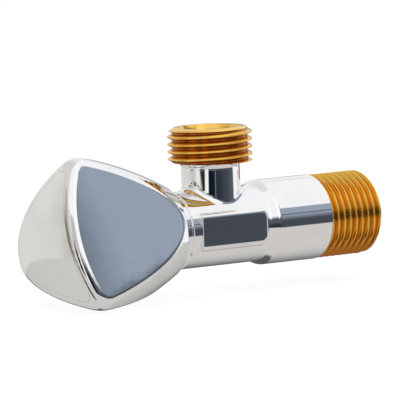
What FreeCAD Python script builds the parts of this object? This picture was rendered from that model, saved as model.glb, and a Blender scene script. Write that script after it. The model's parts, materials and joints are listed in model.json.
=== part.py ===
import FreeCAD, Part

import math
import os

from FreeCAD import Vector

# Quarter-turn angle stop valve with a three-sided knob. Millimetres and degrees.
# The main axis is X: the inlet faces +X and the knob faces -X. The outlet faces +Z.
# Every piece is modelled about the point where the inlet and outlet axes cross, and is
# then moved so that the origin is where the inlet thread starts.
# A "station" is a place along the main axis. A "height" is a place along the outlet axis.
# Angles about the main axis start at +Z and grow towards -Y.

# ---- Pipe threads, G 1/2, as plain cylinders over their crests ----
pipe_thread_diameter = 20.955
inlet_thread_length = 15.1
outlet_thread_length = 8.6
thread_lead_in = 1.1
thread_end_diameter = 18.4
thread_relief_length = 0.9
thread_relief_depth = 1.16
outlet_rim_diameter = 17.7

# ---- Forged body ----
centre_to_inlet_end = 45.0
centre_to_bonnet_end = 12.0
centre_to_outlet_end = 24.9
sleeve_length = 15.7
sleeve_step = 1.02
shoulder_length = 2.5
shoulder_fillet = 2.6
barrel_diameter = 19.12
barrel_end_chamfer = 0.35
neck_diameter = 14.5
neck_root_fillet = 2.0
neck_flare = 0.7
neck_flare_height = 1.65
pad_length = 20.0
pad_inlet_offset = 0.6
pad_height = 9.4
pad_proud = 0.39
pad_long_edge_fillet = 1.3
pad_corner_fillet = 2.7
pad_edge_round = 0.25

# ---- Waterway ----
inlet_bore_diameter = 13.6
bore_mouth_chamfer = 0.5
seat_port_setback = 0.2
seat_web_thickness = 3.0
chamber_wall = 1.96
chamber_depth = 21.5
outlet_bore_diameter = 10.0
outlet_mouth_diameter = 13.56
outlet_mouth_depth = 7.6

# ---- Bonnet ring between the body and the knob ----
bonnet_ring_length = 2.4
bonnet_ring_round = 0.4

# ---- Cartridge housing ----
bonnet_thread_wall = 1.56
bonnet_thread_length = 6.0
flange_setback = 0.76
flange_thickness = 1.2
hex_setback = 1.3
hex_length = 4.2
hex_chamfer = 0.6
nose_wall = 1.35
nose_length = 4.4
cage_gap = 0.4
cage_wall = 1.0
cage_bore_depth = 11.8
window_width = 8.6
housing_seal_section = 1.3
housing_seal_groove_width = 1.6
housing_seal_setback = 0.4

# ---- Spindle ----
spindle_flange_step = 1.7
spindle_flange_gap = 0.5
spindle_flange_thickness = 1.2
thrust_washer_thickness = 0.7
spindle_seal_section = 1.1
spindle_seal_groove_width = 1.5
spindle_seal_pitch = 3.2
spindle_seal_setback = 4.2
tang_across = 4.6
tang_length = 1.8
spline_root_step = 0.55
spline_tooth_height = 0.45
spline_teeth = 20
spline_length = 8.2
spline_relief = 0.5

# ---- Quarter-turn stop and retaining clip ----
quarter_turn = 90.0
stop_lug_angle = 34.0
stop_side_gap = 3.0
stop_pocket_depth = 1.6
stop_washer_thickness = 0.9
stop_lug_wall = 0.9
spindle_flat_depth = 0.5
clip_reach = 1.1
clip_thickness = 0.8
clip_groove_depth = 0.6
clip_mouth = 4.6

# ---- Ceramic discs, driver and seat seal ----
disc_thickness = 2.6
disc_rim_gap = 0.2
disc_tab_width = 2.8
disc_tab_reach = 0.9
port_setback = 0.3
port_inner_diameter = 3.0
port_angle = 76.0
driver_channel_depth = 2.2
driver_lug_length = 1.0
driver_lug_width = 2.2
driver_lug_depth = 0.9
seat_seal_length = 1.2
seat_seal_proud = 0.9
seat_seal_wall = 1.2
seat_lip_height = 0.3
seat_lip_width = 0.5
support_ring_wall = 0.6

# ---- Knob ----
knob_length = 35.6
knob_lip_overhang = 1.84
knob_bell_spread = 10.2
knob_flank_bulge = 1.2
knob_dome_radius = 37.5
facet_count = 3
facet_lip_height = 0.6
facet_taper = 0.6
facet_crown_radius = 260.0
facet_rest_angle = 73.0
knob_rim_fillet = 4.6
knob_edge_fillet = 2.3
knob_lip_fillet = 0.5
knob_wall = 2.0
knob_back_web = 2.2
hub_wall = 1.5
hub_front_web = 1.2

# ---- Front cover ----
cover_thickness = 1.6
cover_rim_width = 2.1
cover_corner_radius = 2.2
cover_ledge_width = 1.6
cover_ledge_thickness = 1.8
cover_skirt_thickness = 1.0
cover_skirt_reach = 2.0

# ---- Spline insert, screw and washer ----
insert_wall = 1.6
insert_rib_count = 3
insert_rib_width = 2.4
insert_rib_reach = 0.8
screw_diameter = 4.0
screw_length = 10.0
screw_head_diameter = 7.6
screw_head_height = 2.6
screw_head_round = 0.6
screw_socket_across = 2.5
screw_socket_depth = 1.6
screw_washer_diameter = 11.0
screw_washer_thickness = 0.8

# ---- Clearances ----
running_gap = 0.3
shaft_clearance = 0.05
lapped_gap = 0.05
seat_clearance = 0.05
thread_clearance = 0.08
cover_seam = 0.03
drill_point = 1.0
overshoot = 1.0

X_AXIS = Vector(1, 0, 0)
Y_AXIS = Vector(0, 1, 0)
Z_AXIS = Vector(0, 0, 1)
CENTRE = Vector(0, 0, 0)
FULL_CIRCLE = 360.0
HALF_CIRCLE = 180.0
HEX_SIDES = 6
TOUCH = 1e-3
RIDGE_SHARE = 0.88

# ---- Stations of the body, from the inlet back to the bonnet ----
thread_start = centre_to_inlet_end - inlet_thread_length
sleeve_end = thread_start - thread_relief_length
shoulder_front = sleeve_end - sleeve_length
shoulder_back = shoulder_front - shoulder_length
bonnet_face = -centre_to_bonnet_end
chamber_end = bonnet_face + chamber_depth
thread_base_height = centre_to_outlet_end - outlet_thread_length

# ---- Stations of the cartridge ----
ring_face = bonnet_face - bonnet_ring_length
flange_face = ring_face - flange_thickness
hex_face = flange_face - hex_length
nose_face = hex_face - nose_length
bonnet_thread_end = bonnet_face + bonnet_thread_length
seal_groove_start = bonnet_thread_end + housing_seal_setback
housing_end = chamber_end - seat_seal_proud
cage_floor = housing_end - cage_bore_depth

fixed_disc_front = chamber_end - seat_seal_length
fixed_disc_back = fixed_disc_front - disc_thickness
turning_disc_front = fixed_disc_back - lapped_gap
turning_disc_back = turning_disc_front - disc_thickness
driver_front = turning_disc_back - seat_clearance
thrust_washer_back = cage_floor + lapped_gap
spindle_flange_back = thrust_washer_back + thrust_washer_thickness + lapped_gap
spindle_flange_front = spindle_flange_back + spindle_flange_thickness
driver_back = spindle_flange_front + seat_clearance
channel_start = driver_front - driver_channel_depth

stop_washer_front = nose_face - lapped_gap
stop_washer_back = stop_washer_front - stop_washer_thickness
clip_front = stop_washer_back - lapped_gap
clip_back = clip_front - clip_thickness
spline_start = clip_back - lapped_gap - spline_relief
spindle_end = spline_start - spline_length

# ---- Stations of the knob ----
knob_back = ring_face - running_gap
knob_apex = knob_back - knob_length
dome_centre = knob_apex + knob_dome_radius
recess_floor = hex_face - running_gap
cavity_back = recess_floor - knob_back_web
insert_back = spline_start - seat_clearance
insert_front = spindle_end - running_gap
hub_front = insert_front - hub_front_web
screw_seat = hub_front - screw_washer_thickness

# ---- Radii of the body and the cartridge, each a wall or a gap from the one outside it ----
pipe_thread_radius = pipe_thread_diameter / 2
barrel_radius = barrel_diameter / 2
sleeve_radius = barrel_radius + sleeve_step
pad_across = barrel_diameter + 2 * pad_proud
bonnet_thread_radius = barrel_radius - bonnet_thread_wall
chamber_radius = barrel_radius - chamber_wall
flange_radius = barrel_radius - flange_setback
hex_across_flats = 2 * (flange_radius - hex_setback)
cage_radius = chamber_radius - cage_gap
cage_bore_radius = cage_radius - cage_wall
housing_seal_floor = chamber_radius - housing_seal_section
disc_radius = cage_bore_radius - disc_rim_gap
driver_radius = cage_bore_radius - running_gap
seat_bore_radius = cage_bore_radius - seat_seal_wall
seat_port_radius = seat_bore_radius - seat_port_setback
port_outer_radius = seat_bore_radius - port_setback
spindle_flange_radius = cage_bore_radius - spindle_flange_gap
spindle_radius = spindle_flange_radius - spindle_flange_step
guide_radius = spindle_radius + shaft_clearance
nose_radius = guide_radius + nose_wall
spindle_seal_floor = guide_radius - spindle_seal_section
clip_groove_radius = spindle_radius - clip_groove_depth
clip_radius = spindle_radius + clip_reach
spline_root_radius = spindle_radius - spline_root_step

# ---- Radii of the knob ----
knob_lip_radius = barrel_radius + knob_lip_overhang
knob_front_radius = knob_lip_radius + knob_bell_spread
facet_back_distance = knob_lip_radius + facet_lip_height
facet_front_distance = facet_back_distance + knob_length * math.tan(math.radians(facet_taper))
insert_radius = spline_root_radius + spline_tooth_height + insert_wall
hub_radius = insert_radius + insert_rib_reach + hub_wall
screw_radius = screw_diameter / 2


# ---------------------------------------------------------------- shape helpers


def turned(*corners):
    """A solid turned about the main axis, from (station, radius) corners."""
    points = [Vector(station, 0, radius) for station, radius in corners]
    return Part.Face(Part.makePolygon(points + points[:1])).revolve(CENTRE, X_AXIS, FULL_CIRCLE)


def drum(start, end, radius):
    """A cylinder on the main axis between two stations."""
    return Part.makeCylinder(radius, abs(end - start), Vector(min(start, end), 0, 0), X_AXIS)


def tube(start, end, outer_radius, inner_radius):
    """A ring on the main axis between two stations."""
    return drum(start, end, outer_radius).cut(drum(start, end, inner_radius))


def about_axis(shape, angle):
    """A copy of a shape, turned about the main axis."""
    turned_copy = shape.copy()
    turned_copy.rotate(CENTRE, X_AXIS, angle)
    return turned_copy


def ring_sector(start, end, inner_radius, outer_radius, middle, width):
    """Part of a ring on the main axis, centred on one angle."""
    corners = [(start, inner_radius), (end, inner_radius), (end, outer_radius), (start, outer_radius)]
    points = [Vector(station, 0, radius) for station, radius in corners]
    section = Part.Face(Part.makePolygon(points + points[:1]))
    return about_axis(section.revolve(CENTRE, X_AXIS, width), middle - width / 2)


def block(start, end, width, low, high):
    """A box between two stations, centred across Y, between two heights."""
    return Part.makeBox(abs(end - start), width, high - low, Vector(min(start, end), -width / 2, low))


def square_bar(start, end, across):
    """A square bar on the main axis."""
    return block(start, end, across, -across / 2, across / 2)


def seal_ring(middle, floor_radius, wall_radius):
    """An O-ring on the main axis between a groove's floor and the wall that it seals."""
    section = (wall_radius - floor_radius) / 2 - seat_clearance / 2
    return Part.makeTorus((wall_radius + floor_radius) / 2, section, Vector(middle, 0, 0), X_AXIS)


def round_edges_at(shape, station, radius):
    """The circular edges of a shape about the main axis at one station and radius."""
    found = []
    for edge in shape.Edges:
        if edge.Degenerated or not isinstance(edge.Curve, Part.Circle):
            continue
        on_station = abs(edge.Curve.Center.x - station) < TOUCH
        if on_station and abs(edge.Curve.Radius - radius) < TOUCH:
            found.append(edge)
    return found


def is_along(edge, direction):
    """Whether an edge is straight and runs along a direction."""
    return isinstance(edge.Curve, Part.Line) and abs(edge.Curve.Direction.dot(direction)) > 1 - TOUCH


# ---------------------------------------------------------------- forged body


def barrel_and_sleeve():
    """The turned outside: threaded inlet, relief groove, sleeve, soft shoulder and barrel."""
    end_radius = thread_end_diameter / 2
    relief_radius = pipe_thread_radius - thread_relief_depth
    outside = turned(
        (bonnet_face, 0),
        (bonnet_face, barrel_radius - barrel_end_chamfer),
        (bonnet_face + barrel_end_chamfer, barrel_radius),
        (shoulder_back, barrel_radius),
        (shoulder_front, sleeve_radius),
        (sleeve_end, sleeve_radius),
        (sleeve_end, relief_radius),
        (thread_start, relief_radius),
        (thread_start, pipe_thread_radius),
        (centre_to_inlet_end - thread_lead_in, pipe_thread_radius),
        (centre_to_inlet_end, end_radius),
        (centre_to_inlet_end, 0),
    )
    soft = round_edges_at(outside, shoulder_back, barrel_radius)
    soft += round_edges_at(outside, shoulder_front, sleeve_radius)
    return outside.makeFillet(shoulder_fillet, soft)


def outlet_neck():
    """The neck, which flares under the outlet thread, turned about the outlet axis."""
    neck_radius = neck_diameter / 2
    flare_base = thread_base_height - neck_flare_height
    flare_middle = Vector(neck_radius + neck_flare / 4, 0, flare_base + neck_flare_height * 2 / 3)
    foot = Vector(neck_radius, 0, 0)
    flare_start = Vector(neck_radius, 0, flare_base)
    flare_end = Vector(neck_radius + neck_flare, 0, thread_base_height)
    thread_outline = [
        flare_end,
        Vector(pipe_thread_radius, 0, thread_base_height),
        Vector(pipe_thread_radius, 0, centre_to_outlet_end - thread_lead_in),
        Vector(outlet_rim_diameter / 2, 0, centre_to_outlet_end),
        Vector(0, 0, centre_to_outlet_end),
        CENTRE,
        foot,
    ]
    edges = [
        Part.LineSegment(foot, flare_start).toShape(),
        Part.Arc(flare_start, flare_middle, flare_end).toShape(),
    ]
    edges += Part.makePolygon(thread_outline).Edges
    return Part.Face(Part.Wire(edges)).revolve(CENTRE, Z_AXIS, FULL_CIRCLE)


def join_neck(outside):
    """Join the outlet neck to the barrel with a soft fillet round its root."""
    joined = outside.fuse(outlet_neck()).removeSplitter()
    root = []
    for edge in joined.Edges:
        middle = edge.valueAt((edge.FirstParameter + edge.LastParameter) / 2)
        inside_neck = math.hypot(middle.x, middle.y) < neck_diameter / 2 + TOUCH
        if inside_neck and 0 < middle.z < barrel_radius + TOUCH and edge.Length > neck_diameter:
            root.append(edge)
    return joined.makeFillet(neck_root_fillet, root)


def wrench_pads():
    """The two raised flats on the sides of the barrel, which a wrench holds."""
    pad_back = pad_inlet_offset - pad_length / 2
    corner = Vector(pad_back, -pad_across / 2, -pad_height / 2)
    pads = Part.makeBox(pad_length, pad_across, pad_height, corner)
    inlet_corners = [edge for edge in pads.Edges if is_along(edge, Y_AXIS) and edge.CenterOfMass.x > 0]
    pads = pads.makeFillet(pad_corner_fillet, inlet_corners)
    on_face = [edge for edge in pads.Edges if abs(abs(edge.CenterOfMass.y) - pad_across / 2) < TOUCH]
    pads = pads.makeFillet(pad_long_edge_fillet, [edge for edge in on_face if is_along(edge, X_AXIS)])
    back_edges = [
        edge
        for edge in pads.Edges
        if is_along(edge, Z_AXIS) and edge.CenterOfMass.x < pad_back + TOUCH
    ]
    return pads.makeFillet(pad_edge_round, back_edges)


def waterway():
    """Everything bored out of the body, from the inlet to the chamber and the outlet."""
    inlet_radius = inlet_bore_diameter / 2
    web_front = chamber_end + seat_web_thickness
    inlet = turned(
        (web_front, 0),
        (web_front, inlet_radius),
        (centre_to_inlet_end - bore_mouth_chamfer, inlet_radius),
        (centre_to_inlet_end, inlet_radius + bore_mouth_chamfer),
        (centre_to_inlet_end + overshoot, inlet_radius + bore_mouth_chamfer),
        (centre_to_inlet_end + overshoot, 0),
    )
    port = drum(chamber_end - overshoot, web_front + overshoot, seat_port_radius)
    chamber = drum(bonnet_face - overshoot, chamber_end, chamber_radius)
    bonnet = drum(bonnet_face - overshoot, bonnet_thread_end, bonnet_thread_radius)
    outlet_bore = Part.makeCylinder(outlet_bore_diameter / 2, centre_to_outlet_end)
    mouth_floor = Vector(0, 0, centre_to_outlet_end - outlet_mouth_depth)
    mouth = Part.makeCylinder(outlet_mouth_diameter / 2, outlet_mouth_depth + overshoot, mouth_floor)
    return inlet.fuse([port, chamber, bonnet, outlet_bore, mouth])


def valve_body():
    """The forged brass body with its two threaded ends."""
    outside = join_neck(barrel_and_sleeve()).fuse(wrench_pads()).removeSplitter()
    return outside.cut(waterway())


def bonnet_ring():
    """The trim ring that the cartridge's flange clamps against the body."""
    ring = tube(ring_face, bonnet_face, barrel_radius, bonnet_thread_radius + seat_clearance)
    corners = round_edges_at(ring, ring_face, barrel_radius)
    corners += round_edges_at(ring, bonnet_face, barrel_radius)
    return ring.makeFillet(bonnet_ring_round, corners)


# ---------------------------------------------------------------- cartridge


def hexagon(start, end, across_flats):
    """A hexagonal bar on the main axis."""
    corner_radius = across_flats / 2 / math.cos(math.radians(HALF_CIRCLE / HEX_SIDES))
    points = []
    for side in range(HEX_SIDES):
        angle = math.radians(side * FULL_CIRCLE / HEX_SIDES)
        points.append(Vector(start, corner_radius * math.sin(angle), corner_radius * math.cos(angle)))
    face = Part.Face(Part.makePolygon(points + points[:1]))
    return face.extrude(Vector(end - start, 0, 0))


def chamfered_hex():
    """The hexagon that the cartridge is screwed in by, with its outer corners turned off."""
    corner_radius = hex_across_flats / 2 / math.cos(math.radians(HALF_CIRCLE / HEX_SIDES))
    turned_limit = turned(
        (flange_face, 0),
        (flange_face, corner_radius),
        (hex_face + hex_chamfer, corner_radius),
        (hex_face, corner_radius - hex_chamfer),
        (hex_face, 0),
    )
    return hexagon(flange_face, hex_face, hex_across_flats).common(turned_limit)


def stop_pocket():
    """The sector cut into the nose, in which the stop lug travels a quarter turn."""
    width = quarter_turn + stop_lug_angle + 2 * stop_side_gap
    pocket_floor = nose_face + stop_pocket_depth
    return ring_sector(nose_face - overshoot, pocket_floor, 0, nose_radius + overshoot, 0, width)


def cartridge_housing():
    """The brass bonnet: flange and hexagon outside, spindle guide and disc cage inside."""
    thread_radius = bonnet_thread_radius - thread_clearance
    housing = drum(ring_face, flange_face, flange_radius).fuse(
        [
            chamfered_hex(),
            drum(hex_face, nose_face, nose_radius),
            drum(ring_face, bonnet_thread_end, thread_radius),
            drum(bonnet_thread_end, housing_end, cage_radius),
        ]
    )
    groove_end = seal_groove_start + housing_seal_groove_width
    windows = block(channel_start - running_gap, driver_front, window_width, -cage_radius, cage_radius)
    slot_width = disc_tab_width + 2 * seat_clearance
    slots = Part.makeBox(
        housing_end - fixed_disc_back + overshoot,
        2 * cage_radius,
        slot_width,
        Vector(fixed_disc_back - seat_clearance, -cage_radius, -slot_width / 2),
    )
    return housing.cut(
        [
            drum(nose_face - overshoot, cage_floor + overshoot, guide_radius),
            drum(cage_floor, housing_end + overshoot, cage_bore_radius),
            tube(seal_groove_start, groove_end, cage_radius + overshoot, housing_seal_floor),
            windows,
            slots,
            stop_pocket(),
        ]
    )


def housing_seal():
    """The O-ring between the housing and the wall of the body's chamber."""
    middle = seal_groove_start + housing_seal_groove_width / 2
    return seal_ring(middle, housing_seal_floor, chamber_radius)


def butterfly_ports(start, end, angle):
    """The two opposed sector-shaped ports through a ceramic disc."""
    inner = port_inner_diameter / 2
    first = ring_sector(start, end, inner, port_outer_radius, angle, port_angle)
    return first.fuse(about_axis(first, HALF_CIRCLE))


def fixed_disc():
    """The ceramic disc that two tabs hold still in the housing's slots."""
    disc = drum(fixed_disc_back, fixed_disc_front, disc_radius)
    reach = disc_radius + disc_tab_reach
    tabs = Part.makeBox(
        disc_thickness,
        2 * reach,
        disc_tab_width,
        Vector(fixed_disc_back, -reach, -disc_tab_width / 2),
    )
    tabs = tabs.common(drum(fixed_disc_back, fixed_disc_front, reach))
    ports = butterfly_ports(fixed_disc_back - overshoot, fixed_disc_front + overshoot, 0)
    return disc.fuse(tabs).removeSplitter().cut(ports)


def driver_lug_blocks(clearance):
    """The two lugs that turn the ceramic disc, or with a clearance the notches for them."""
    lug_end = driver_front + driver_lug_length + clearance
    width = driver_lug_width + 2 * clearance
    outer = disc_radius + clearance
    inner = disc_radius - driver_lug_depth - clearance
    bar = block(driver_front, lug_end, width, -outer, outer)
    return bar.cut(block(driver_front, lug_end, width, -inner, inner))


def turning_disc():
    """The ceramic disc that the spindle turns over the fixed one, shut at rest."""
    disc = drum(turning_disc_back, turning_disc_front, disc_radius)
    ports = butterfly_ports(turning_disc_back - overshoot, turning_disc_front + overshoot, quarter_turn)
    return disc.cut([ports, driver_lug_blocks(seat_clearance)])


def disc_driver():
    """The moulded coupling between the spindle's tang and the turning disc."""
    driver = drum(driver_back, driver_front, driver_radius)
    socket_end = spindle_flange_front + tang_length + seat_clearance
    socket = square_bar(driver_back - overshoot, socket_end, tang_across + 2 * seat_clearance)
    outside = driver_radius + overshoot
    inner = port_inner_diameter / 2
    channel = ring_sector(
        channel_start, driver_front + overshoot, inner, outside, quarter_turn, port_angle
    )
    lugs = driver_lug_blocks(0).common(drum(driver_front, driver_front + driver_lug_length, disc_radius))
    cut = driver.cut([socket, channel, about_axis(channel, HALF_CIRCLE)])
    return cut.fuse(lugs).removeSplitter()


def seat_seal():
    """The rubber ring between the fixed disc and the body's seat, with a raised lip."""
    outer = cage_bore_radius - seat_clearance
    lip_base = chamber_end - seat_lip_height
    return turned(
        (fixed_disc_front, seat_bore_radius),
        (fixed_disc_front, outer),
        (lip_base, outer),
        (chamber_end, outer - seat_lip_width / 2),
        (chamber_end, outer - seat_lip_width),
        (lip_base, outer - seat_lip_width * 2),
        (lip_base, seat_bore_radius),
    )


def seal_support_ring():
    """The stiff ring that keeps the seat seal round."""
    outer = seat_bore_radius - seat_clearance
    ring_end = chamber_end - seat_lip_height
    return tube(fixed_disc_front, ring_end, outer, outer - support_ring_wall)


# ---------------------------------------------------------------- spindle group


def spline_outline(start, end, clearance):
    """A toothed bar on the main axis. A clearance makes it the socket for that bar."""
    root = spline_root_radius + clearance
    tip = root + spline_tooth_height
    step = FULL_CIRCLE / spline_teeth
    points = []
    for tooth in range(spline_teeth):
        for radius, share in ((root, -1 / 4), (tip, -1 / 8), (tip, 1 / 8), (root, 1 / 4)):
            angle = math.radians((tooth + share) * step)
            points.append(Vector(start, radius * math.sin(angle), radius * math.cos(angle)))
    face = Part.Face(Part.makePolygon(points + points[:1]))
    return face.extrude(Vector(end - start, 0, 0))


def spindle_flats(start, end, clearance):
    """The two-flatted length of the spindle that keys the stop washer."""
    half_width = spindle_radius - spindle_flat_depth + clearance
    limit = block(start, end, 4 * spindle_radius, -half_width, half_width)
    return drum(start, end, spindle_radius + clearance).common(limit)


def spindle():
    """The brass spindle: tang, thrust flange, seal grooves, flats, clip groove and spline."""
    first_groove = nose_face + spindle_seal_setback
    grooves = []
    for index in range(2):
        start = first_groove + index * spindle_seal_pitch
        end = start + spindle_seal_groove_width
        grooves.append(tube(start, end, spindle_radius + overshoot, spindle_seal_floor))
    shaft = drum(nose_face, spindle_flange_back, spindle_radius).cut(grooves)
    hole_end = screw_seat + screw_length + drill_point
    screw_hole = turned(
        (spindle_end - overshoot, 0),
        (spindle_end - overshoot, screw_radius + seat_clearance),
        (hole_end - drill_point, screw_radius + seat_clearance),
        (hole_end, 0),
    )
    parts = [
        drum(spindle_flange_back, spindle_flange_front, spindle_flange_radius),
        square_bar(spindle_flange_front, spindle_flange_front + tang_length, tang_across),
        spindle_flats(clip_front, nose_face, 0),
        drum(clip_back, clip_front, clip_groove_radius),
        drum(spline_start, clip_back, spindle_radius),
        spline_outline(spline_start, spindle_end, 0),
    ]
    return shaft.fuse(parts).removeSplitter().cut(screw_hole)


def spindle_seal(index):
    """One of the two O-rings that seal the spindle in its guide."""
    groove = nose_face + spindle_seal_setback + index * spindle_seal_pitch
    return seal_ring(groove + spindle_seal_groove_width / 2, spindle_seal_floor, guide_radius)


def thrust_washer():
    """The low-friction washer between the spindle's flange and the cage floor."""
    end = thrust_washer_back + thrust_washer_thickness
    return tube(thrust_washer_back, end, spindle_flange_radius, guide_radius)


def stop_washer():
    """The washer keyed to the spindle, whose lug meets the ends of the stop pocket."""
    outer = nose_radius - shaft_clearance
    washer = drum(stop_washer_back, stop_washer_front, outer)
    lug_tip = nose_face + stop_pocket_depth - lapped_gap * 2
    lug = ring_sector(
        stop_washer_back,
        lug_tip,
        outer - stop_lug_wall,
        outer,
        quarter_turn / 2,
        stop_lug_angle,
    )
    bore = spindle_flats(stop_washer_back - overshoot, stop_washer_front + overshoot, seat_clearance)
    return washer.fuse(lug).removeSplitter().cut(bore)


def retaining_clip():
    """The open clip that keeps the spindle in the housing."""
    clip = tube(clip_back, clip_front, clip_radius, clip_groove_radius + seat_clearance)
    mouth = block(clip_back, clip_front, clip_mouth, 0, 2 * clip_radius)
    return clip.cut(mouth)


# ---------------------------------------------------------------- knob
# The knob's pieces are modelled with one facet facing +Z, and take its rest angle last.


def facet_ball(wall):
    """The large sphere that a crowned facet belongs to, inside the knob's skin by a wall."""
    slope = math.radians(facet_taper)
    half_length = knob_length / 2
    crown = facet_crown_radius - math.sqrt(facet_crown_radius**2 - half_length**2)
    middle = Vector(knob_back - half_length, 0, facet_back_distance + half_length * math.tan(slope))
    outward = Vector(math.sin(slope), 0, math.cos(slope))
    centre = middle + outward * (crown - facet_crown_radius)
    return Part.makeSphere(facet_crown_radius - wall, centre, -Y_AXIS)


def facet_cutters(wall):
    """Blocks whose undersides are the crowned facets, inside the knob's skin by a wall."""
    size = 2 * knob_front_radius
    corner = Vector(knob_back - 2 * size, -size, facet_back_distance / 2)
    cutter = Part.makeBox(3 * size, 2 * size, size, corner).cut(facet_ball(wall))
    return [about_axis(cutter, side * FULL_CIRCLE / facet_count) for side in range(facet_count)]


def sphere_station(radius, depth):
    """The station where the dome's sphere, less a depth, has a radius about the axis."""
    return dome_centre - math.sqrt((knob_dome_radius - depth) ** 2 - radius**2)


def knob_bell(wall, dome_wall):
    """The turned bell of the knob, inside its skin by a wall: a bulging flank and a dome."""
    lip_radius = knob_lip_radius - wall
    rim_radius = knob_front_radius - wall
    lip = Vector(knob_back, 0, lip_radius)
    rim = Vector(sphere_station(rim_radius, dome_wall), 0, rim_radius)
    apex = Vector(sphere_station(0, dome_wall), 0, 0)
    back = Vector(knob_back, 0, 0)
    slope = math.atan2(rim_radius - lip_radius, lip.x - rim.x)
    outward = Vector(math.sin(slope), 0, math.cos(slope))
    flank_middle = (lip + rim) * 0.5 + outward * knob_flank_bulge
    dome_middle = Vector(sphere_station(rim_radius / 2, dome_wall), 0, rim_radius / 2)
    outline = [
        Part.LineSegment(back, lip).toShape(),
        Part.Arc(lip, flank_middle, rim).toShape(),
        Part.Arc(rim, dome_middle, apex).toShape(),
        Part.LineSegment(apex, back).toShape(),
    ]
    return Part.Face(Part.Wire(outline)).revolve(CENTRE, X_AXIS, FULL_CIRCLE)


def is_facet(face):
    """Whether a face of the knob's outside is one of its crowned facets."""
    surface = face.Surface
    return isinstance(surface, Part.Sphere) and abs(surface.Radius - facet_crown_radius) < TOUCH


def widest_ridge_fillet():
    """The largest rounding that the narrow front end of a ridge has room for."""
    rim_reach = knob_back - sphere_station(knob_front_radius, 0)
    facet_distance = facet_back_distance + rim_reach * math.tan(math.radians(facet_taper))
    facet_half_angle = math.acos(facet_distance / knob_front_radius)
    ridge_half_width = knob_front_radius * (math.pi / facet_count - facet_half_angle)
    return RIDGE_SHARE * ridge_half_width / math.tan(facet_half_angle / 2)


def softened_knob():
    """The outside of the knob: its rim is rounded first, then each facet's outline, then the lip."""
    bell = knob_bell(0, 0)
    rim = round_edges_at(bell, sphere_station(knob_front_radius, 0), knob_front_radius)
    knob = bell.makeFillet(knob_rim_fillet, rim).cut(facet_cutters(0))
    outlines = [edge for face in knob.Faces if is_facet(face) for edge in face.Edges]
    outlines = [edge for edge in outlines if edge.BoundBox.XMin < knob_back - TOUCH]
    knob = knob.makeFillet(min(knob_edge_fillet, widest_ridge_fillet()), outlines)
    lip = [edge for edge in knob.Edges if edge.BoundBox.XMin > knob_back - TOUCH]
    return knob.makeFillet(knob_lip_fillet, lip)


def dome_ball(depth):
    """The sphere that the dome belongs to, inside its skin by a depth."""
    return Part.makeSphere(knob_dome_radius - depth, Vector(dome_centre, 0, 0))


def outline_tip_radius(inset):
    """How far the rounded corners of the front outline reach from the main axis."""
    corner_stretch = 1 / math.cos(math.pi / facet_count)
    sharp_radius = (facet_front_distance - inset) * corner_stretch
    return sharp_radius - cover_corner_radius * (corner_stretch - 1)


def rounded_outline_bar(inset, start, end):
    """A bar with the knob's rounded front outline, inside its rim by a width."""
    sharp_radius = (facet_front_distance - inset) / math.cos(math.pi / facet_count)
    points = []
    for corner in range(facet_count):
        angle = 2 * math.pi * (corner + 1 / 2) / facet_count
        across = Vector(0, -math.sin(angle), math.cos(angle)) * sharp_radius
        points.append(Vector(start, 0, 0) + across)
    face = Part.Face(Part.makePolygon(points + points[:1]))
    bar = face.extrude(Vector(end - start, 0, 0))
    corners = [edge for edge in bar.Edges if edge.BoundBox.XLength > TOUCH]
    return bar.makeFillet(cover_corner_radius, corners)


def ledge_back_station():
    """The station of the deepest part of the ledge that carries the front cover."""
    opening_radius = outline_tip_radius(cover_rim_width + cover_ledge_width)
    return sphere_station(opening_radius, cover_thickness + cover_ledge_thickness)


def knob_shell():
    """The cast shell of the knob, hollow behind its front cover, with a hub for the insert."""
    ledge_inset = cover_rim_width + cover_ledge_width
    bell = knob_bell(knob_wall, cover_thickness + cover_ledge_thickness)
    cavity = bell.cut(facet_cutters(knob_wall))
    cavity = cavity.common(drum(knob_apex, cavity_back, knob_front_radius))
    cavity = cavity.cut(drum(cavity_back, hub_front, hub_radius))
    seat_end = sphere_station(outline_tip_radius(cover_rim_width), cover_thickness) + overshoot
    cover_seat = rounded_outline_bar(cover_rim_width, knob_apex - overshoot, seat_end)
    return softened_knob().cut(
        [
            cavity,
            rounded_outline_bar(ledge_inset, knob_apex - overshoot, ledge_back_station()),
            cover_seat.cut(dome_ball(cover_thickness)),
            drum(knob_back + overshoot, recess_floor, flange_radius + running_gap),
            drum(recess_floor, insert_back, nose_radius + running_gap),
            insert_outline(recess_floor, insert_front, seat_clearance),
            drum(insert_front, hub_front, screw_radius + running_gap),
        ]
    )


def front_cover():
    """The domed plate that closes the knob, with a skirt that plugs into the opening."""
    outline_inset = cover_rim_width + cover_seam
    plate_end = sphere_station(outline_tip_radius(outline_inset), cover_thickness) + overshoot
    plate = rounded_outline_bar(outline_inset, knob_apex - overshoot, plate_end)
    plate = plate.common(dome_ball(0)).cut(dome_ball(cover_thickness))
    skirt_inset = cover_rim_width + cover_ledge_width + seat_clearance
    skirt_end = ledge_back_station() + cover_skirt_reach
    outer = rounded_outline_bar(skirt_inset, knob_apex, skirt_end)
    inner = rounded_outline_bar(skirt_inset + cover_skirt_thickness, knob_apex, skirt_end)
    skirt = outer.cut(inner).common(dome_ball(cover_thickness / 2))
    return plate.fuse(skirt).removeSplitter()


def insert_outline(start, end, clearance):
    """The ribbed outside of the spline insert. A clearance makes it the socket."""
    radius = insert_radius + clearance
    rib_tip = radius + insert_rib_reach
    outline = drum(start, end, radius)
    for rib in range(insert_rib_count):
        blade = block(start, end, insert_rib_width + 2 * clearance, 0, rib_tip)
        outline = outline.fuse(about_axis(blade, rib * FULL_CIRCLE / insert_rib_count))
    return outline.removeSplitter()


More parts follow.
